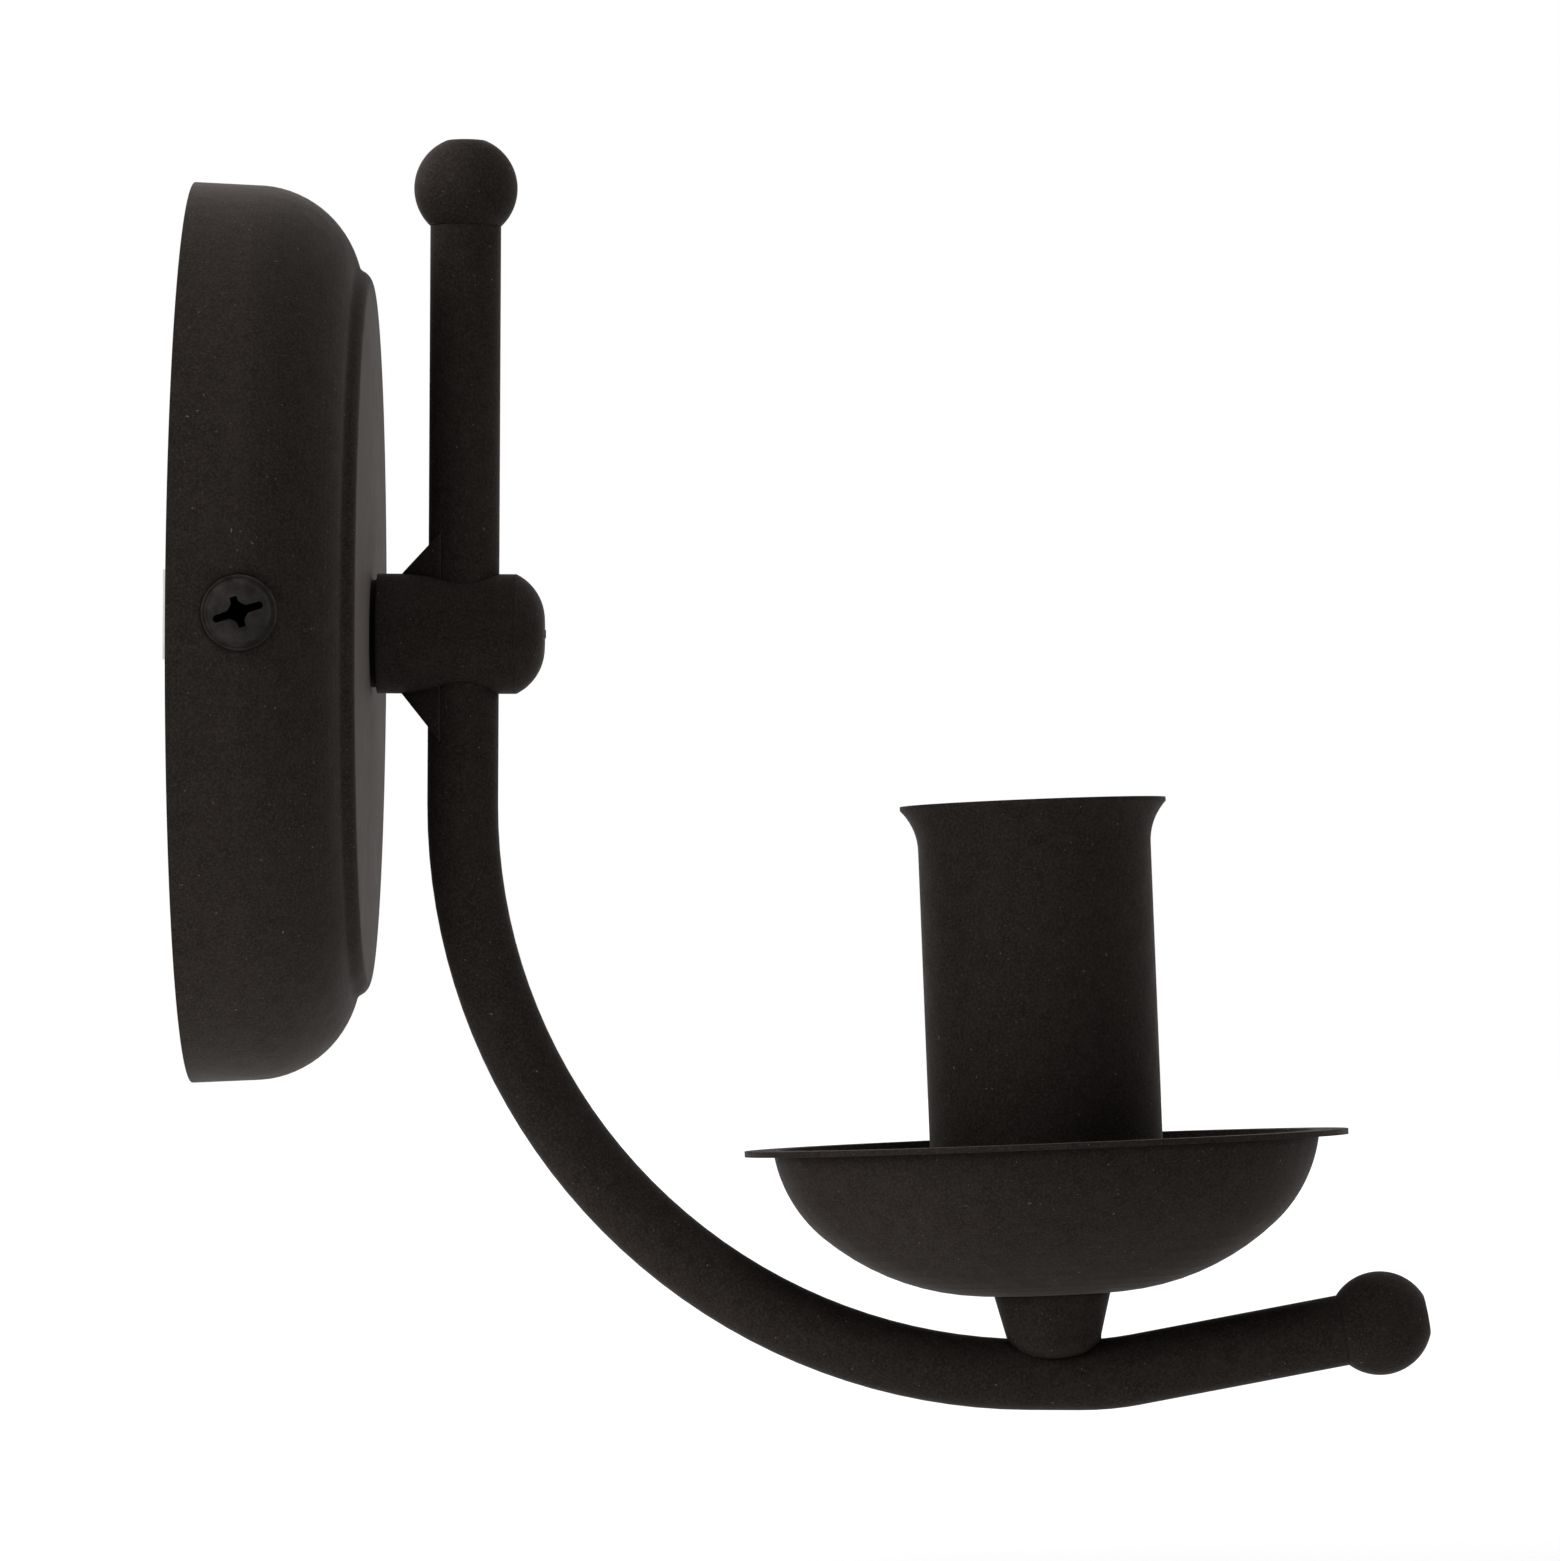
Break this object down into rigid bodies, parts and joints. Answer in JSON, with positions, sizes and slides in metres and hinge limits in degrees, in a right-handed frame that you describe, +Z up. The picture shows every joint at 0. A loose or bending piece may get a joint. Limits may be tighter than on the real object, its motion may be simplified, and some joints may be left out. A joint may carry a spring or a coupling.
{
  "type": "torch wall sconce",
  "caption": "Matt black torch-style wall sconce: round wall cup, hub, curved tube arm with ball ends, drip pan and flared candle sleeve over a screw-in lamp holder.",
  "frame": {"origin": "on the wall plane at the back of the bracket, midway between the two wall slots", "axes": "+X out of the wall, +Y along the wall, +Z up"},
  "size_m": [0.175, 0.1316, 0.1787],
  "materials": {
    "black_coat": "matt black powder coat with a fine sandy texture and faint lighter specks",
    "black_screw": "satin black lacquer on a small steel screw, worn a little at the slot",
    "zinc_steel": "bright zinc plate on steel, slightly cloudy",
    "brass": "plain rolled brass, lightly dulled",
    "spring_steel": "drawn spring wire",
    "black_plastic": "moulded black thermoplastic, satin",
    "cream_insulator": "unglazed cream ceramic",
    "white_plastic": "natural nylon moulding",
    "brown_wire": "brown wire insulation",
    "blue_wire": "blue wire insulation",
    "green_wire": "green and yellow striped wire insulation"
  },
  "bodies": {
    "fixture": {"wall_bracket": "zinc_steel", "bracket_earth_screw": "brass", "wall_cover": "black_coat", "cover_screws": "black_screw", "terminal_block": "white_plastic", "block_clamps": "brass", "clamp_screws": "zinc_steel", "block_screws": "zinc_steel", "hub": "black_coat", "hub_pipe": "zinc_steel", "hub_lock_nut": "zinc_steel", "hub_lock_washer": "zinc_steel", "earth_tag": "zinc_steel", "wire_bush": "white_plastic", "hub_cap": "black_coat", "arm_tube": "black_coat", "top_ball": "black_coat", "tip_ball": "black_coat", "cup_coupler": "black_coat", "lamp_pipe": "zinc_steel", "drip_pan": "black_coat", "pan_lock_washer": "zinc_steel", "pan_lock_nut": "zinc_steel", "holder_base": "black_plastic", "holder_skirt": "black_plastic", "holder_insert": "cream_insulator", "screw_shell": "brass", "contact_spring": "spring_steel", "contact_terminal": "brass", "shell_terminal": "brass", "holder_screws": "zinc_steel", "live_wire": "brown_wire", "neutral_wire": "blue_wire", "earth_wire": "green_wire"},
    "sleeve": {"candle_sleeve": "black_coat"},
    "contact": {"contact_pin": "brass"}
  },
  "joints": [
    {"name": "sleeve_lift", "type": "slide", "parent": "fixture", "child": "sleeve", "axis": [-0.0436, 0, 0.999], "range_m": [0, 0.065]},
    {"name": "contact_press", "type": "slide", "parent": "fixture", "child": "contact", "axis": [-0.0436, 0, 0.999], "range_m": [-0.0015, 0], "stiffness_N_per_m": 1000, "springref_m": 0.001, "deforming": ["contact_spring"]}
  ]
}
